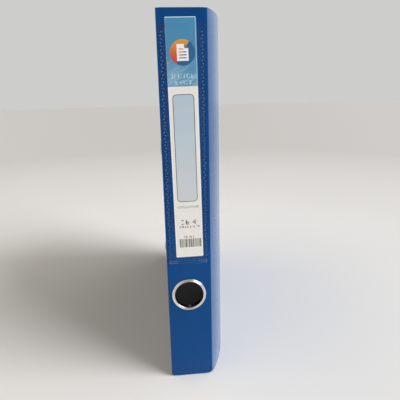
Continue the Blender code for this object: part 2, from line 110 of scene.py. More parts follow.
# Foil: rounded edges, folds, and the hems that close each fold at its foot and head
EDGE_RADIUS = 0.8
EDGE_STEPS = 4
CORNER_STEPS = 6
SLAB_ROWS = 17
FRONT_FOLD = 0.7
REAR_FOLD = 0.9
CREASE_SHEET = 0.5
CREASE_ROWS = 30
HEM = 1.4
HEM_STEP = 0.1
HEM_DEPTH = 2.1
HEM_SHARE = 0.75
FOOT_ROUND = 2.3
FOOT_REACH = 2.0
FOOT_FADE = 12.0

# Finger ring, finer than the CAD's
RING_SLEEVE = 13.17
RING_HOLE = 13.4
RING_DEPTH = 3.9
RING_SEAT = -0.1
RING_LIP = 0.5
RING_ROLL = 0.6
RING_GROOVE = ((13.78, -0.76), (13.93, -0.72), (14.08, -0.78))
CLAMP_BORE = 13.3
CLAMP_OUTER = 15.1
CLAMP_ROLL = 0.55
CLAMP_GAP = 0.35

# Label pocket, finer than the CAD's, and where the card's printed face lies
POCKET_FILM = 0.18
POCKET_BULGE = 0.18
POCKET_RIPPLE = 0.05
POCKET_STEP = 0.32
POCKET_SHOULDER = 0.3
POCKET_FOOT_X = 10.5
LABEL_FRONT = 0.56

# Weld marks: spacing up the sides, slant in degrees, (length, width), heights of their foot and top, and
# how far they taper; then the same for the marks at the pocket's two feet
MARK_PITCH = 2.55
MARK_SLANT = 38
MARK_SIZE = (1.8, 0.8)
MARK_STAGGER = 0.35
MARK_DEPTH = (0.2, 0.34)
MARK_TAPER = 0.6
FOOT_MARKS = 5
FOOT_MARK_X = 9.8
FOOT_MARK_PITCH = 1.5
FOOT_MARK_SHIFT = -0.45
FOOT_MARK_RISES = (1.1, 2.7)
FOOT_MARK_SLANT = 35
FOOT_MARK_SIZE = (1.5, 0.9)

# Print on the card, from the card's centre. A sign is some of a box's strokes: left, right, top, middle, foot
INK = 0.012
CARD_SHEET = 0.26
CARD_ROUND = 0.6
HEADER_FOOT = 46.2
HEADER_FADE = (46.0, 97.0)
STREAK_BAND = (52.0, 70.0)
STREAK_TILT = 35
WINDOW_BOX = (-8.6, 8.4, -46.2, 40.5)
WINDOW_LINE = 0.55
WINDOW_ROUND = 3.2
WINDOW_PANE_ROUND = 2.75
WINDOW_FADE = (-47.0, 41.0)
BADGE_PLACE = (0.8, 70.9)
BADGE_RADIUS = 9.5
BADGE_SLOPE = 1.6
PAGE_HALF = (4.4, 6.0)
PAGE_FOLD = 3.0
PAGE_LINES = 4
BARS_ACROSS = (-8.4, 9.4)
BARS_UP = (-86.8, -79.2)
BAR_WIDTHS = (0.25, 0.3, 0.5, 0.8)
BAR_GAPS = (0.25, 0.3, 0.5)
BAR_SEED = 21
SIGNS = ("rtm", "rmf", "tmf", "rtf", "lmf", "rm", "lrt", "tf")
SIGN_GAP = 1.2

# Camera: place, turn about the vertical, pitch and roll in degrees, and lens
CAMERA_PLACE = (-19.3, -318.56, 262.56)
CAMERA_TURN = 5.407
CAMERA_PITCH = 15.765
CAMERA_ROLL = 1.235
CAMERA_LENS = 35.742

# Light: the sky's colour across the scene from left to right, its colour near the horizon, the plain
# colour seen behind the file, and the soft key light
SKY = (
    (0.0, (1.0, 0.85, 0.62)),
    (0.32, (0.5, 0.43, 0.33)),
    (0.42, (0.1, 0.1, 0.095)),
    (0.58, (0.1, 0.1, 0.1)),
    (0.78, (0.75, 0.76, 0.77)),
    (1.0, (1.0, 1.0, 1.0)),
)
SKY_LEVEL = 1.2
HORIZON = (0.6, 0.61, 0.62, 1)
HORIZON_BAND = (0.16, 0.34)
SKY_SEEN = (0.61, 0.61, 0.605, 1)
KEY_PLACE = (1.6, -0.75, 1.2)
KEY_STRENGTH = 3.05
KEY_SPREAD = 40
KEY_COLOUR = (1, 0.99, 0.97)

# Floor: half its side and the distances between which its colour turns to the darker far one, in metres; the
# darkening is painted shade, a falloff of light away from the file
FLOOR_HALF = 6.0
FLOOR_TURN = (0.35, 1.3)
FLOOR_FAR_SHADE = (0.545, 0.545, 0.55, 1)

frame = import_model()
SPINE_LOW, SPINE_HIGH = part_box("spine_wrap")
ORIGIN = Vector(((SPINE_LOW.x + SPINE_HIGH.x) / 2, SPINE_LOW.y, 0))


def at(x, y, z):
    return ORIGIN + Vector((x, y, z)) * MM


# ---------------------------------------------------------------- materials


class Tree:
    """A node tree, with short calls for adding nodes and joining them."""

    def __init__(self, tree):
        self.tree = tree

    def add(self, kind, settings=None, **inputs):
        node = self.tree.nodes.new("ShaderNode" + kind)
        for key, value in (settings or {}).items():
            setattr(node, key, value)
        for key, value in inputs.items():
            self.give(node.inputs[key.replace("_", " ")], value)
        return node

    def give(self, socket, value):
        if isinstance(value, bpy.types.NodeSocket):
            self.tree.links.new(value, socket)
        else:
            socket.default_value = value

    def calculate(self, operation, *values):
        node = self.add("Math", {"operation": operation})
        for place, value in enumerate(values):
            self.give(node.inputs[place], value)
        return node.outputs[0]

    def mix(self, share, low, high):
        node = self.add("Mix", {"data_type": "RGBA"})
        for place, value in ((0, share), (6, low), (7, high)):
            self.give(node.inputs[place], value)
        return node.outputs[2]

    def spread(self, value, low, high, start=0.3, end=0.7):
        node = self.add("MapRange", Value=value)
        for name, number in (("From Min", start), ("From Max", end), ("To Min", low), ("To Max", high)):
            node.inputs[name].default_value = number
        return node.outputs["Result"]

    def colours(self, value, *stops):
        ramp = self.add("ValToRGB", Fac=value)
        elements = ramp.color_ramp.elements
        while len(elements) < len(stops):
            elements.new(0.5)
        for element, (position, colour) in zip(elements, stops, strict=True):
            element.position = position
            element.color = (*colour, 1)
        return ramp.outputs["Color"]


class Nodes(Tree):
    """A material's node tree, round its Principled shader."""

    def __init__(self, name):
        self.material = bpy.data.materials.new(name)
        self.material.use_nodes = True
        super().__init__(self.material.node_tree)
        self.shader = self.tree.nodes["Principled BSDF"]
        self.place = self.tree.nodes.new("ShaderNodeTexCoord").outputs["Object"]

    def set(self, **inputs):
        for key, value in inputs.items():
            self.give(self.shader.inputs[key.replace("_", " ")], value)

    def mapped(self, where=None, **turn):
        return self.add("Mapping", Vector=where or self.place, **turn).outputs["Vector"]

    def noise(self, scale, detail=2.0, roughness=0.5, where=None):
        where = where or self.place
        node = self.add("TexNoise", Vector=where, Scale=scale, Detail=detail, Roughness=roughness)
        return node.outputs["Fac"]

    def axis(self, letter):
        return self.add("SeparateXYZ", Vector=self.place).outputs[letter]

    def up_card(self, low, high, start=0.0, end=1.0):
        """start below the height low on the card, turning to end at the height high."""
        ends = [(LABEL_CENTRE[1] + height) * MM for height in (low, high)]
        return self.spread(self.axis("Z"), start, end, *ends)

    def bump(self, *layers):
        """Layers of (height, strength, distance in mm), the last on top."""
        normal = None
        for height, strength, distance in layers:
            node = self.add("Bump", Height=height, Strength=strength, Distance=distance * MM)
            if normal is not None:
                self.give(node.inputs["Normal"], normal)
            normal = node.outputs["Normal"]
        self.set(Normal=normal)

    def printed(self, colour, roughness, grain=0.15):
        """Finishes a print: its colour, and the grain of paper."""
        self.set(Base_Color=colour, Roughness=roughness)
        self.bump((self.noise(700, 3), grain, 0.01))
        return self.material


def foil_material():
    m = Nodes("foil_blue")
    drift = m.noise(14, 3)
    grain = m.noise(1500, 3, 0.6)
    ripple = m.noise(60, 2)
    m.set(Base_Color=m.colours(drift, (0.3, (0.0025, 0.041, 0.163)), (0.7, (0.005, 0.051, 0.19))))
    m.set(Roughness=m.spread(grain, 0.2, 0.29), IOR=1.62, Specular_Tint=(0.03, 0.34, 1, 1))
    m.set(Coat_Weight=0.9, Coat_Roughness=0.16, Coat_IOR=1.15)
    m.set(Sheen_Weight=0.5, Sheen_Roughness=0.33, Sheen_Tint=(0.2, 0.55, 1, 1))
    m.bump((ripple, 0.2, 0.1), (grain, 0.25, 0.015))
    return m.material


def lining_material():
    m = Nodes("lining_dark")
    fibre = m.noise(900, 4, 0.65)
    patch = m.noise(25, 2)
    m.set(Base_Color=m.colours(patch, (0.3, (0.006, 0.0064, 0.0075)), (0.7, (0.0095, 0.01, 0.0115))))
    m.set(Roughness=m.spread(fibre, 0.68, 0.86), Specular_IOR_Level=0.25)
    m.bump((fibre, 0.5, 0.04))
    return m.material


def nickel_material(name, colour, low, high):
    m = Nodes(name)
    cloud = m.noise(160, 3)
    streak = m.noise(1, 3, 0.6, m.mapped(Scale=(2600, 2600, 240)))
    darker = tuple(c * 0.9 for c in colour)
    m.set(Base_Color=m.colours(cloud, (0.3, darker), (0.7, colour)), Metallic=1.0)
    m.set(Roughness=m.spread(streak, low, high))
    m.bump((streak, 0.12, 0.006))
    return m.material


def ink_material(name, colour, other=None):
    m = Nodes(name)
    other = other or tuple(c * 0.9 for c in colour)
    return m.printed(m.colours(m.noise(1300, 2), (0.35, other), (0.65, colour)), 0.5, 0.2)


def header_material():
    """Blue that fades near its foot, where slanting paler streaks cross it."""
    m = Nodes("print_header")
    plain = m.colours(
        m.up_card(*HEADER_FADE),
        (0.0, (0.11, 0.3, 0.47)),
        (0.4, (0.055, 0.23, 0.41)),
        (1.0, (0.038, 0.235, 0.43)),
    )
    tilted = m.mapped(Rotation=(0, math.radians(STREAK_TILT), 0))
    streak = m.noise(1, 2, 0.5, m.mapped(tilted, Scale=(26, 26, 330)))
    near_foot = m.up_card(*STREAK_BAND, start=0.8, end=0.0)
    share = m.calculate("MULTIPLY", m.spread(streak, 0.0, 1.0, 0.46, 0.58), near_foot)
    return m.printed(m.mix(share, plain, (0.27, 0.45, 0.6, 1)), 0.42)


def window_material():
    m = Nodes("print_window")
    fade = m.up_card(*WINDOW_FADE)
    return m.printed(m.colours(fade, (0.0, (0.58, 0.605, 0.63)), (1.0, (0.42, 0.535, 0.64))), 0.5)


def badge_material():
    """Orange at the top, turning to red on the left, and deep blue at the lower right."""
    m = Nodes("print_badge")
    middle = BADGE_PLACE[1]
    warm = m.colours(
        m.up_card(middle - 8, middle + 9),
        (0.0, (0.5, 0.02, 0.02)),
        (0.4, (0.62, 0.08, 0.012)),
        (1.0, (0.68, 0.31, 0.02)),
    )
    down = m.calculate("MULTIPLY", m.axis("Z"), -1.0)
    slope = m.calculate("MULTIPLY_ADD", m.axis("X"), BADGE_SLOPE, down)
    border = ORIGIN.x * BADGE_SLOPE - (LABEL_CENTRE[1] + middle) * MM
    cool = m.spread(slope, 0.0, 1.0, border - 0.4 * MM, border + 0.4 * MM)
    return m.printed(m.mix(cool, warm, (0.004, 0.1, 0.26, 1)), 0.42)


def film_material(name, alpha, colour, roughness, grain):
    m = Nodes(name)
    m.set(Base_Color=(*colour, 1), Alpha=alpha, IOR=1.5)
    m.set(Roughness=m.spread(m.noise(90, 2), roughness, roughness * 1.6))
    m.bump((m.noise(45, 2), 0.2, 0.15), (m.noise(1200, 2), grain, 0.02))
    return m.material


FOIL = foil_material()
LINING = lining_material()
NICKEL = nickel_material("nickel_bright", (0.78, 0.765, 0.73), 0.12, 0.26)
STEEL = nickel_material("steel_plated", (0.66, 0.66, 0.65), 0.2, 0.36)
CARD = ink_material("card_white", (0.81, 0.785, 0.75), (0.76, 0.74, 0.71))
# Bright white of the card's rim, brighter than the card itself: a painted highlight on the card's edges. The
# same white is also printed as the badge's sheet of paper
EDGE_GLINT_AND_PAGE_WHITE = ink_material("card_edge_glint_and_page_white", (0.88, 0.88, 0.87), (0.82, 0.82, 0.81))
INK_DARK = ink_material("print_dark", (0.055, 0.06, 0.065))
INK_GREY = ink_material("print_grey", (0.15, 0.16, 0.17))
INK_LINE = ink_material("print_line", (0.07, 0.09, 0.12))
# Light blue rim left showing at the header's left, right and top: a painted highlight where the film bulges
# over the card's edges
HEADER_EDGE_HIGHLIGHT = ink_material("header_edge_painted_highlight", (0.28, 0.5, 0.7))
INK_PALE = ink_material("print_pale", (0.62, 0.72, 0.79))
INK_BAR = ink_material("print_bars", (0.1, 0.075, 0.06))
BADGE = badge_material()
HEADER = header_material()
WINDOW = window_material()
FILM = film_material("film_clear", 0.02, (0.2, 0.26, 0.4), 0.07, 0.1)
# Film on the step beside the card: the step is real, its denser and paler tint a painted highlight where the
# film turns and catches the light
FILM_STEP_HIGHLIGHT = film_material("film_step_painted_highlight", 0.14, (0.1, 0.16, 0.34), 0.12, 0.2)
WELD = film_material("film_weld", 0.14, (0.015, 0.05, 0.17), 0.25, 0.8)
# Pale film of the pressed weld marks: the marks are real, their pale tint a painted highlight where they
# catch the light
WELD_MARK_GLINT = film_material("film_weld_mark_painted_glint", 0.65, (0.13, 0.27, 0.6), 0.2, 0.5)


# ---------------------------------------------------------------- mesh tools


def mesh_piece(
    name, points, faces, materials, body=None, slot=None, stands_for=(), sharp=SMOOTH_UP_TO, tags=None
):
    """A closed mesh from points in the frame's metres, shaded smooth up to the sharp angle."""
    mesh = bpy.data.meshes.new(name)
    mesh.from_pydata([tuple(p) for p in points], [], [list(f) for f in faces])
    work = bmesh.new()
    work.from_mesh(mesh)
    bmesh.ops.recalc_face_normals(work, faces=work.faces)
    work.to_mesh(mesh)
    work.free()
    for material in materials:
        mesh.materials.append(material)
    for polygon, tag in zip(mesh.polygons, tags or [0] * len(mesh.polygons), strict=True):
        polygon.material_index = tag
    mesh.shade_smooth()
    mesh.set_sharp_from_angle(angle=math.radians(sharp))
    obj = bpy.data.objects.new(name, mesh)
    bpy.context.scene.collection.objects.link(obj)
    if body:
        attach(obj, body)
    if stands_for:
        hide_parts(*stands_for)
    return obj


def grid_faces(columns, rows, start=0):
    corners = [start + i * rows + j for i in range(columns - 1) for j in range(rows - 1)]
    return [(k, k + rows, k + rows + 1, k + 1) for k in corners]


def grid_rim(columns, rows):
    """The (column, row) places round the edge of a grid."""
    rim = [(i, 0) for i in range(columns)]
    rim += [(columns - 1, j) for j in range(1, rows)]
    rim += [(i, rows - 1) for i in range(columns - 2, -1, -1)]
    return rim + [(0, j) for j in range(rows - 2, 0, -1)]


def round_pairs(ring):
    """Each item of a closed ring with the one after it."""
    return zip(ring, ring[1:] + ring[:1], strict=True)


def sheet_faces(columns, rows):
    """Faces of a closed sheet whose points are one grid and then the same grid a thickness away."""
    count = columns * rows
    rim = [i * rows + j for i, j in grid_rim(columns, rows)]
    sides = [(one, two, two + count, one + count) for one, two in round_pairs(rim)]
    return grid_faces(columns, rows) + grid_faces(columns, rows, count) + sides


def slab(name, place, ends, stations, rounded_end, **piece):
    """A board wrapped in foil: edges rounded at the foot, the head and, if rounded_end, the fore-edge.

    place(u, z, n) gives the point at u along the board, z up and n in from the outer face.
    """
    low, high = ends
    rows = SLAB_ROWS
    corner = CORNER if rounded_end else 0.0
    steps = CORNER_STEPS if rounded_end else 0
    turns = [math.radians(90 * k / steps) for k in range(1, steps + 1)]
    straight = sorted({low, high - corner, *[s for s in stations if low < s < high - corner]})
    columns = len(straight) + len(turns)

    def outline(inset):
        edge = [(u, inset) for u in straight]
        reach = corner - inset
        edge += [(high - corner + reach * math.sin(t), corner - reach * math.cos(t)) for t in turns]
        return edge

    quarter = [math.radians(90 * k / EDGE_STEPS) for k in range(EDGE_STEPS + 1)]
    profile = [(EDGE_RADIUS * (1 - math.sin(t)), EDGE_RADIUS * (1 - math.cos(t))) for t in quarter]
    profile += [(inset, PANEL - n) for inset, n in reversed(profile)]
    points, faces, index = [], [], {}
    last = len(profile) - 1
    ring = grid_rim(columns, rows)
    whole = [(i, j) for i in range(columns) for j in range(rows)]
    for layer, (inset, n) in enumerate(profile):
        edge = outline(inset)
        for i, j in whole if layer in (0, last) else ring:
            u, foot = edge[i]
            index[layer, i, j] = len(points)
            share = j / (rows - 1)
            points.append(place(u, foot + (HEIGHT - 2 * foot) * share, n))
    for layer in (0, last):
        for i in range(columns - 1):
            for j in range(rows - 1):
                corners = ((i, j), (i + 1, j), (i + 1, j + 1), (i, j + 1))
                faces.append([index[(layer, *c)] for c in corners])
    for layer in range(last):
        for one, two in round_pairs(ring):
            corners = ((layer, *one), (layer, *two), (layer + 1, *two), (layer + 1, *one))
            faces.append([index[c] for c in corners])
    return mesh_piece(name, points, faces, [FOIL], slot="foil", **piece)


def turned(name, profile, centre, axis, material, segments, **piece):
    """A closed (radius, height) profile turned round an axis."""
    axis = Vector(axis)
    side = axis.orthogonal().normalized()
    across = axis.cross(side)
    rings, points = [], []
    for radius, height in profile:
        foot = at(*centre) + axis * height * MM
        rings.append([len(points) + i for i in range(segments)])
        for i in range(segments):
            turn = 2 * math.pi * i / segments
            points.append(foot + radius * MM * (math.cos(turn) * side + math.sin(turn) * across))
    faces = []
    for one, two in round_pairs(rings):
        for i in range(segments):
            j = (i + 1) % segments
            faces.append((one[i], one[j], two[j], two[i]))
    return mesh_piece(name, points, faces, [material], **piece)


def cut_round(obj, centre, axis, radius, length):
    """Cuts a round hole through a piece and keeps the result as its mesh."""
    bpy.ops.mesh.primitive_cylinder_add(vertices=96, radius=radius * MM, depth=length * MM)
    cutter = bpy.context.object
    turn = Vector((0, 0, 1)).rotation_difference(Vector(axis))
    cutter.matrix_world = Matrix.Translation(at(*centre)) @ turn.to_matrix().to_4x4()
    bpy.context.view_layer.update()
    step = obj.modifiers.new("hole", "BOOLEAN")
    step.object = cutter
    graph = bpy.context.evaluated_depsgraph_get()
    mesh = bpy.data.meshes.new_from_object(obj.evaluated_get(graph))
    obj.modifiers.clear()
    obj.data = mesh
    bpy.data.objects.remove(cutter)
    mesh.shade_smooth()
    mesh.set_sharp_from_angle(angle=math.radians(SMOOTH_UP_TO))


def refined(node, material, bevel=0.0):
    """A CAD node's own shape, with its facets joined, its edges eased and a finish on it."""
    source = frame["nodes"][node]
    work = bmesh.new()
    work.from_mesh(source.data)
    bmesh.ops.remove_doubles(work, verts=work.verts, dist=1e-5)
    if bevel:
        bmesh.ops.dissolve_limit(work, angle_limit=math.radians(1), verts=work.verts, edges=work.edges)
    mesh = bpy.data.meshes.new(node + "_fine")
    work.to_mesh(mesh)
    work.free()
    mesh.materials.append(material)
    mesh.shade_smooth()
    mesh.set_sharp_from_angle(angle=math.radians(CAD_SMOOTH_UP_TO))
    obj = bpy.data.objects.new(node + "_fine", mesh)
    bpy.context.scene.collection.objects.link(obj)
    if bevel:
        ease = obj.modifiers.new("eased_edges", "BEVEL")
        ease.width = bevel * MM
        ease.segments = 2
        ease.angle_limit = math.radians(CAD_SMOOTH_UP_TO)
        ease.harden_normals = True
    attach(obj, source["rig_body"])
    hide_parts(node)
    return obj


# ---------------------------------------------------------------- covers and spine


def bow_slope(y):
    start, top, lean = BOW_EASE
    if y < start:
        return BOW_SLOPE * math.exp(-y / BOW_DECAY)
    if y < top:
        return BOW_SLOPE * math.exp(-start / BOW_DECAY) * (top - y) / (top - start)
    return BOW_LEAN * min((y - top) / (lean - top), 1)


def bow_table(step=0.5):
    table, x, y = [], SPINE_WIDTH / 2 + BOW_OFFSET, 0.0
    while y <= DEPTH + step:
        table.append(x)
        x += step * bow_slope(y + step / 2)
        y += step
    return table, step


BOW, BOW_STEP = bow_table()


def with_foot(z, from_corner):
    """z, raised near the foot of a fold, where the wrapped corners are worn round."""
    rise = FOOT_ROUND * math.exp(-((from_corner / FOOT_REACH) ** 2))
    return z + rise * max(1 - z / FOOT_FADE, 0)


def on_spine(x, z, n):
    return at(x, n, with_foot(z, SPINE_WIDTH / 2 - abs(x)))


def on_rear(y, z, n):
    return at(-SPINE_WIDTH / 2 + n, y, with_foot(z, y))


def on_front(y, z, n):
    share = y / BOW_STEP
    i = int(share)
    x = BOW[i] + (share - i) * (BOW[i + 1] - BOW[i])
    slope = math.atan(bow_slope(y))
    return at(x - n * math.cos(slope), y + n * math.sin(slope), with_foot(z, y))


def build_panels():
    spine = slab(
        "spine_foil", on_spine, (-SPINE_EDGE, SPINE_EDGE), [-12, -6, 0, 6, 12], False,
        body="spine", stands_for=("spine_wrap", "spine_board"),
    )
    cut_round(spine, (RING_X, 1, RING_Z), (0, 1, 0), RING_HOLE, 12)
    slab(
        "rear_foil", on_rear, (REAR_START, DEPTH), list(range(20, 280, 20)), True,
        body="rear_cover", stands_for=("rear_cover_wrap", "rear_cover_board"),
    )
    bowed = [FRONT_START + 2.5 * k for k in range(1, 46)] + list(range(125, 280, 12))
    slab(
        "front_foil", on_front, (FRONT_START, DEPTH), bowed, True,
        body="front_cover", stands_for=("front_cover_wrap", "front_cover_board"),
    )
    for node in ("spine_lining", "front_cover_lining", "rear_cover_lining"):
        refined(node, LINING)


def crease_line(start, corner, end, radius, steps=8):
    """Points (x, y) from start to end, round a corner that is rounded by the radius."""
    start, corner, end = Vector(start), Vector(corner), Vector(end)
    back, ahead = (start - corner).normalized(), (end - corner).normalized()
    reach = radius / math.tan(back.angle(ahead) / 2)
    first, last = corner + back * reach, corner + ahead * reach
    line = [start + (first - start) * k / 3 for k in range(3)]
    for k in range(steps + 1):
        t = k / steps
        line.append(first * (1 - t) ** 2 + corner * 2 * t * (1 - t) + last * t**2)
    line += [last + (end - last) * k / 3 for k in range(1, 4)]
    return line


def build_crease(name, line, corner, inward, node):
    """The folded foil between spine and cover: a sheet along the line, thicker in its hems.
    """
    foot, head = EDGE_RADIUS * 0.4, HEIGHT - EDGE_RADIUS * 0.4
    heights = [foot, foot + HEM, foot + HEM + HEM_STEP]
    heights += [foot + (head - foot) * k / CREASE_ROWS for k in range(1, CREASE_ROWS)]
    heights += [head - HEM - HEM_STEP, head - HEM, head]
    outer, inner = [], []
    into = (line[0] + line[-1] - 2 * corner).normalized()
    centre = (line[0] + line[-1]) / 2 + into * HEM_DEPTH * 0.7
    for i, spot in enumerate(line):
        ahead = (line[min(i + 1, len(line) - 1)] - line[max(i - 1, 0)]).normalized()
        across = Vector((-ahead.y, ahead.x)) * inward
        inside = spot + across * CREASE_SHEET
        for height in heights:
            z = with_foot(height, (spot - corner).length)
            outer.append(at(spot.x, spot.y, z))
            hem = min(height - foot, head - height) < HEM + HEM_STEP / 2
            deep = inside.lerp(centre, HEM_SHARE) if hem else inside
            inner.append(at(deep.x, deep.y, z))
    faces = sheet_faces(len(line), len(heights))
    crease = mesh_piece(name, outer + inner, faces, [FOIL], slot="foil", stands_for=(node,))
    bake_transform(crease)


def build_creases():
    half, middle = SPINE_WIDTH / 2, HEIGHT / 2
    end = (on_front(FRONT_START, 0, 0) - ORIGIN) / MM
    corner = Vector((end.x - bow_slope(FRONT_START) * end.y, 0))
    line = crease_line((SPINE_EDGE, 0), corner, end.to_2d(), FRONT_FOLD)
    build_crease("front_crease_foil", line, corner, 1, "front_hinge_crease")
    corner = Vector((-half, 0))
    line = crease_line((-SPINE_EDGE, 0), corner, (-half, REAR_START), REAR_FOLD)
    build_crease("rear_crease_foil", line, corner, -1, "rear_hinge_crease")


# ---------------------------------------------------------------- finger ring


def build_finger_ring():
    """A rolled outer rim, a groove, and an inner rim that turns into the sleeve."""
    def arc(radius, height, size, start, end, steps=8):
        turns = [math.radians(start + (end - start) * k / steps) for k in range(steps + 1)]
        return [(radius + size * math.cos(t), height - size * math.sin(t)) for t in turns]

    outer = [(RING_BORE, RING_DEPTH), *arc(RING_BORE + RING_LIP, -0.82, RING_LIP, 180, 25), *RING_GROOVE]
    outer += [*arc(RING_OUTER - RING_ROLL, -0.42, RING_ROLL, 140, 0), (RING_OUTER, RING_SEAT)]
    outer += [(RING_SLEEVE, RING_SEAT), (RING_SLEEVE, RING_DEPTH)]
    face = PANEL + CLAMP_GAP
    inner = [(CLAMP_BORE, face), (CLAMP_OUTER, face)]
    inner += [*arc(14.5, face + 0.35, CLAMP_ROLL, 0, -150), (CLAMP_BORE, face + 0.4)]
    for name, profile, segments, node in (
        ("finger_ring", outer, 128, "finger_ring_outer"),
        ("finger_ring_back", inner, 96, "finger_ring_inner"),
    ):
        turned(
            name, profile, (RING_X, 0, RING_Z), (0, 1, 0), NICKEL, segments,
            body="spine", slot="ring_nickel", stands_for=(node,),
        )


# ---------------------------------------------------------------- label and pocket


def on_label(a, b, lift):
    """a across the card and b up it from its centre; lift stands proud of its printed face."""
    cos, sin = math.cos(LABEL_TILT), math.sin(LABEL_TILT)
    return at(LABEL_CENTRE[0] + a * cos - b * sin, -LABEL_FRONT - lift, LABEL_CENTRE[1] + a * sin + b * cos)


def rectangle(left, right, low, high):
    return [(left, low), (right, low), (right, high), (left, high)]


def rounded_rectangle(left, right, low, high, radius, steps=7):
    outline = []
    for cx, cy, start in (
        (right - radius, high - radius, 0),
        (left + radius, high - radius, 90),
        (left + radius, low + radius, 180),
        (right - radius, low + radius, 270),
    ):
        for k in range(steps + 1):
            turn = math.radians(start + 90 * k / steps)
            outline.append((cx + radius * math.cos(turn), cy + radius * math.sin(turn)))
    return outline


def disc(a, b, radius, steps=48):
    turns = [2 * math.pi * k / steps for k in range(steps)]
    return [(a + radius * math.cos(t), b + radius * math.sin(t)) for t in turns]


class Print:
    """Thin layers of ink stacked on the card, each a closed shape in its own material."""

    def __init__(self):
        self.points, self.faces, self.tags, self.materials = [], [], [], []

    def layer(self, outline, level, material, bottom=0.0):
        if material not in self.materials:
            self.materials.append(material)
        tag = self.materials.index(material)
        start, count = len(self.points), len(outline)
        self.points += [on_label(a, b, lift) for lift in (bottom, level * INK) for a, b in outline]
        self.faces.append(list(range(start, start + count)))
        self.faces.append(list(range(start + 2 * count - 1, start + count - 1, -1)))
        for i in range(count):
            j = (i + 1) % count
            self.faces.append([start + i, start + j, start + count + j, start + count + i])
        self.tags += [tag] * (count + 2)

    def glyph(self, left, low, size, strokes, material, level):
        """One invented sign, drawn with the strokes of a box: its sides, top, middle and foot."""
        width, height, pen = size
        right, high, middle = left + width, low + height, low + height / 2
        boxes = {
            "l": (left, left + pen, low, high),
            "r": (right - pen, right, low, high),
            "t": (left + pen, right - pen, high - pen, high),
            "m": (left + pen, right - pen, middle - pen / 2, middle + pen / 2),
            "f": (left + pen, right - pen, low, low + pen),
        }
        for stroke in strokes:
            self.layer(rectangle(*boxes[stroke]), level, material)

    def words(self, ends, middle, size, material, seed, level):
        """A line of invented signs from left to right."""
        pick = random.Random(seed)
        width, height, pen = size
        a = ends[0]
        while a + width <= ends[1] + 1e-6:
            strokes = pick.choice(SIGNS)
            self.glyph(a, middle - height / 2, size, strokes, material, level)
            a += width + pen * SIGN_GAP


# Lines of signs: ends, middle height, (width, height, pen) of a sign, ink, seed and level
SIGN_LINES = (
    ((-9, 9.4), 53.9, (1.75, 3.1, 0.42), INK_PALE, 3, 3),
    ((-5.6, 6.5), 49.2, (2.0, 2.6, 0.42), INK_PALE, 5, 3),
    ((-9.3, 9.4), -50.8, (1.2, 2.1, 0.28), INK_GREY, 7, 2),
    ((-6.9, 6.7), -64.2, (3.6, 4.0, 0.85), INK_DARK, 12, 2),
    ((-8.3, 9.3), -68.2, (1.3, 1.9, 0.4), INK_DARK, 14, 2),
    ((-4.0, 5.8), -77.4, (1.4, 2.0, 0.34), INK_DARK, 17, 2),
)


def build_label():
    half_w, half_h = LABEL_WIDTH / 2, LABEL_HEIGHT / 2
    sheet = Print()
    card = rounded_rectangle(-half_w, half_w, -half_h, half_h, CARD_ROUND, 3)
    # the base layer shows only as a thin rim round the print; its brighter white is a painted highlight on
    # the card's edges
    sheet.layer(card, 0.1, EDGE_GLINT_AND_PAGE_WHITE, bottom=-CARD_SHEET)
    sheet.layer(rectangle(-half_w + 0.8, half_w - 0.8, -half_h + 0.9, HEADER_FOOT), 1, CARD)
    # the strip of light blue left showing round the header is a painted highlight along the card's edges
    sheet.layer(rectangle(-half_w + 0.05, half_w - 0.05, HEADER_FOOT, half_h - 0.35), 1, HEADER_EDGE_HIGHLIGHT)
    sheet.layer(rectangle(-half_w + 0.15, half_w - 0.75, HEADER_FOOT, half_h - 0.6), 2, HEADER)
    sheet.layer(rounded_rectangle(*WINDOW_BOX, WINDOW_ROUND), 2, INK_LINE)
    left, right, low, high = WINDOW_BOX
    pane = (left + WINDOW_LINE, right - WINDOW_LINE, low + WINDOW_LINE, high - WINDOW_LINE)
    sheet.layer(rounded_rectangle(*pane, WINDOW_PANE_ROUND), 3, WINDOW)
    build_badge(sheet)
    for line in SIGN_LINES:
        sheet.words(*line)
    build_bars(sheet)
    mesh_piece(
        "label_card", sheet.points, sheet.faces, sheet.materials, "label", "label_card", ("label_insert",),
        tags=sheet.tags,
    )


def build_bars(sheet):
    """A block of upright bars of uneven width."""
    pick = random.Random(BAR_SEED)
    a, end = BARS_ACROSS
    while a < end:
        width = pick.choice(BAR_WIDTHS)
        sheet.layer(rectangle(a, a + width, *BARS_UP), 2, INK_BAR)
        a += width + pick.choice(BAR_GAPS)


def build_badge(sheet):
    """A plain round badge, half warm and half blue, with a sheet of paper on it."""
    a, b = BADGE_PLACE
    width, height = PAGE_HALF
    left, right, low, high = a - width, a + width, b - height, b + height
    sheet.layer(disc(a, b, BADGE_RADIUS), 3, BADGE)
    fold = [(right, high - PAGE_FOLD), (right - PAGE_FOLD, high)]
    sheet.layer([(left, low), (right, low), *fold, (left, high)], 4, EDGE_GLINT_AND_PAGE_WHITE)
    sheet.layer([fold[1], (right - PAGE_FOLD, high - PAGE_FOLD), fold[0]], 5, INK_GREY)
    for k in range(PAGE_LINES):
        line = b - 4.2 + 2.1 * k
        reach = 0.6 if k == PAGE_LINES - 1 else 3
        sheet.layer(rectangle(a - 3, a + reach, line, line + 0.75), 5, BADGE)


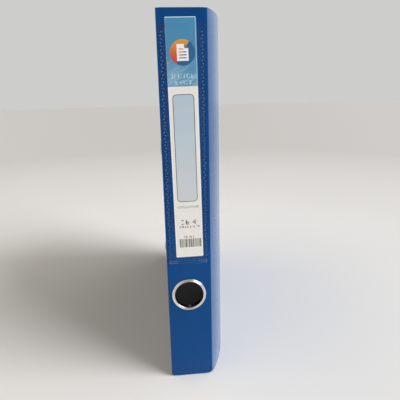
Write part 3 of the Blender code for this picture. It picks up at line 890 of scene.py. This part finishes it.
def build_pocket():
    """Clear film lifted over the card, and flat where it is welded."""
    left, right = POCKET_CAVITY
    foot, head = POCKET_Z
    foot_weld = foot + POCKET_FOOT
    low_side = left - POCKET_STEP
    high_side = right + POCKET_STEP
    xs = [POCKET_X[0], POCKET_X[0] + 1.6, low_side - POCKET_SHOULDER, low_side]
    xs += [left + (right - left) * k / 18 for k in range(19)]
    xs += [high_side, high_side + POCKET_SHOULDER, POCKET_X[1] - 1.0, POCKET_X[1]]
    zs = {foot, foot + 1.6, foot_weld, foot + 3.6, foot + 4.2, head}
    zs = sorted(zs.union(foot + 12 * k for k in range(1, 17)))

    def lift(x, z):
        in_foot = z <= foot_weld + 1e-6 and abs(x) > POCKET_FOOT_X
        if in_foot or not left - 1e-6 <= x <= right + 1e-6:
            return WELD_LIFT
        bulge = POCKET_LIFT + POCKET_BULGE * math.cos(math.pi * x / 28)
        return bulge + POCKET_RIPPLE * math.sin(z / 17 + x / 9)

    def finish(x, z):
        """0 for clear film, 1 for the step beside the card, 2 for a weld, by a face's middle x and top z."""
        if z <= foot_weld + 1e-6 and abs(x) > POCKET_FOOT_X:
            return 2
        if low_side < x < left or right < x < high_side:
            return 1
        return 0 if left < x < right else 2

    points = [at(x, -lift(x, z) - deep, z) for deep in (0.0, POCKET_FILM) for x in xs for z in zs]
    faces = sheet_faces(len(xs), len(zs))
    middles = [(one + two) / 2 for one, two in zip(xs[:-1], xs[1:], strict=True)]
    tags = [finish(x, z) for x in middles for z in zs[1:]] * 2
    tags += [1] * (len(faces) - len(tags))
    # the step beside the card and the sheet's sides take the denser, paler step film, a painted highlight
    # along the step
    mesh_piece(
        "pocket_film", points, faces, [FILM, FILM_STEP_HIGHLIGHT, WELD], "spine", "pocket_film", ("label_pocket",),
        tags=tags, sharp=60,
    )


def build_weld_marks():
    """Small slanting marks pressed into both welds and the two feet of the pocket."""
    points, faces = [], []

    def mark(x, z, size, slant):
        start = len(points)
        along = Vector((math.cos(slant), math.sin(slant))) * size[0] / 2
        across = Vector((-math.sin(slant), math.cos(slant))) * size[1] / 2
        for deep, taper in zip(MARK_DEPTH, (1.0, MARK_TAPER), strict=True):
            ends = [end * taper for end in (along, across, -along, -across)]
            points.extend(at(x + end.x, -WELD_LIFT - deep, z + end.y) for end in ends)
        faces.append([start, start + 1, start + 2, start + 3])
        faces.append([start + 7, start + 6, start + 5, start + 4])
        for k in range(4):
            after = (k + 1) % 4
            faces.append([start + k, start + after, start + 4 + after, start + 4 + k])

    foot, head = POCKET_Z
    middles = [(one + two) / 2 for one, two in zip(POCKET_X, POCKET_CAVITY, strict=True)]
    for side, middle in zip((-1, 1), middles, strict=True):
        for k in range(int((head - foot - 4) / MARK_PITCH)):
            turn = -1 if k % 2 == 0 else 1
            x = middle - MARK_STAGGER * side * turn
            mark(x, foot + 2 + k * MARK_PITCH, MARK_SIZE, math.radians(MARK_SLANT) * turn * side)
        for k in range(FOOT_MARKS):
            for rise in FOOT_MARK_RISES:
                x = side * (FOOT_MARK_X + FOOT_MARK_PITCH * k) + FOOT_MARK_SHIFT
                mark(x, foot + rise, FOOT_MARK_SIZE, math.radians(FOOT_MARK_SLANT) * side)
    # the marks' pale tint is a painted highlight on the pressed marks
    mesh_piece("pocket_weld_marks", points, faces, [WELD_MARK_GLINT], "spine", "pocket_film", sharp=20)


# ---------------------------------------------------------------- mechanism


def build_mechanism():
    for node, bevel in (("base_plate", 0.25), ("lever", 0.2), ("compressor_bar", 0.25)):
        refined(node, STEEL, bevel)
    rivets = [f"rivet_{k}" for k in range(1, 5)]
    for node in ("arch_wire", "crank_roller", "post_lower", "post_upper", "lever_pin", *rivets):
        refined(node, STEEL)


# ---------------------------------------------------------------- stage, light and camera


def build_floor():
    m = Nodes("floor_pale")
    far = m.add("VectorMath", {"operation": "LENGTH"}, Vector=m.place).outputs["Value"]
    near = m.colours(m.noise(3, 2), (0.3, (0.72, 0.725, 0.74)), (0.7, (0.75, 0.755, 0.765)))
    # the floor's colour darkens with distance from the file: painted shade standing in for the light falling
    # off
    m.set(Base_Color=m.mix(m.spread(far, 0.0, 1.0, *FLOOR_TURN), near, FLOOR_FAR_SHADE), Roughness=0.6)
    mesh = bpy.data.meshes.new("floor")
    corners = [(x * FLOOR_HALF, y * FLOOR_HALF, 0) for x, y in ((-1, -1), (1, -1), (1, 1), (-1, 1))]
    mesh.from_pydata(corners, [], [(0, 1, 2, 3)])
    mesh.materials.append(m.material)
    floor = bpy.data.objects.new("floor", mesh)
    bpy.context.scene.collection.objects.link(floor)


def build_sky():
    """A sky bright to both sides, dark between them and pale at the horizon; the camera sees it plain."""
    world = bpy.data.worlds.new("studio")
    bpy.context.scene.world = world
    world.use_nodes = True
    t = Tree(world.node_tree)
    way = t.add("SeparateXYZ", Vector=t.add("TexCoord").outputs["Generated"])
    side = t.colours(t.spread(way.outputs["X"], 0.0, 1.0, -1.0, 1.0), *SKY)
    above = t.spread(way.outputs["Z"], 0.0, 1.0, *HORIZON_BAND)
    sky = t.tree.nodes["Background"]
    t.give(sky.inputs["Color"], t.mix(above, HORIZON, side))
    t.give(sky.inputs["Strength"], SKY_LEVEL)
    seen = t.add("Background", Color=SKY_SEEN)
    choose = t.add("MixShader", Fac=t.add("LightPath").outputs["Is Camera Ray"])
    t.give(choose.inputs[1], sky.outputs[0])
    t.give(choose.inputs[2], seen.outputs[0])
    t.give(t.tree.nodes["World Output"].inputs["Surface"], choose.outputs[0])


def build_key_light():
    data = bpy.data.lights.new("key", "SUN")
    data.energy = KEY_STRENGTH
    data.angle = math.radians(KEY_SPREAD)
    data.color = KEY_COLOUR
    key = bpy.data.objects.new("key", data)
    key.location = KEY_PLACE
    key.rotation_euler = Vector(KEY_PLACE).to_track_quat("Z", "Y").to_euler()
    bpy.context.scene.collection.objects.link(key)


def build_camera():
    data = bpy.data.cameras.new("camera")
    data.lens = CAMERA_LENS
    data.sensor_width = 36
    camera = bpy.data.objects.new("camera", data)
    turn, pitch, roll = (math.radians(v) for v in (CAMERA_TURN, CAMERA_PITCH, CAMERA_ROLL))
    right = Vector((math.cos(turn), -math.sin(turn), 0))
    level = Vector((math.sin(turn), math.cos(turn), 0))
    ahead = level * math.cos(pitch) - Vector((0, 0, math.sin(pitch)))
    up = right.cross(ahead)
    x_axis = right * math.cos(roll) - up * math.sin(roll)
    y_axis = right * math.sin(roll) + up * math.cos(roll)
    matrix = Matrix((x_axis, y_axis, -ahead)).transposed().to_4x4()
    matrix.translation = at(*CAMERA_PLACE)
    camera.matrix_world = matrix
    bpy.context.scene.collection.objects.link(camera)
    bpy.context.scene.camera = camera
    bpy.context.scene.view_settings.view_transform = "Standard"


build_panels()
build_creases()
build_finger_ring()
build_label()
build_pocket()
build_weld_marks()
build_mechanism()
build_floor()
build_sky()
build_key_light()
build_camera()
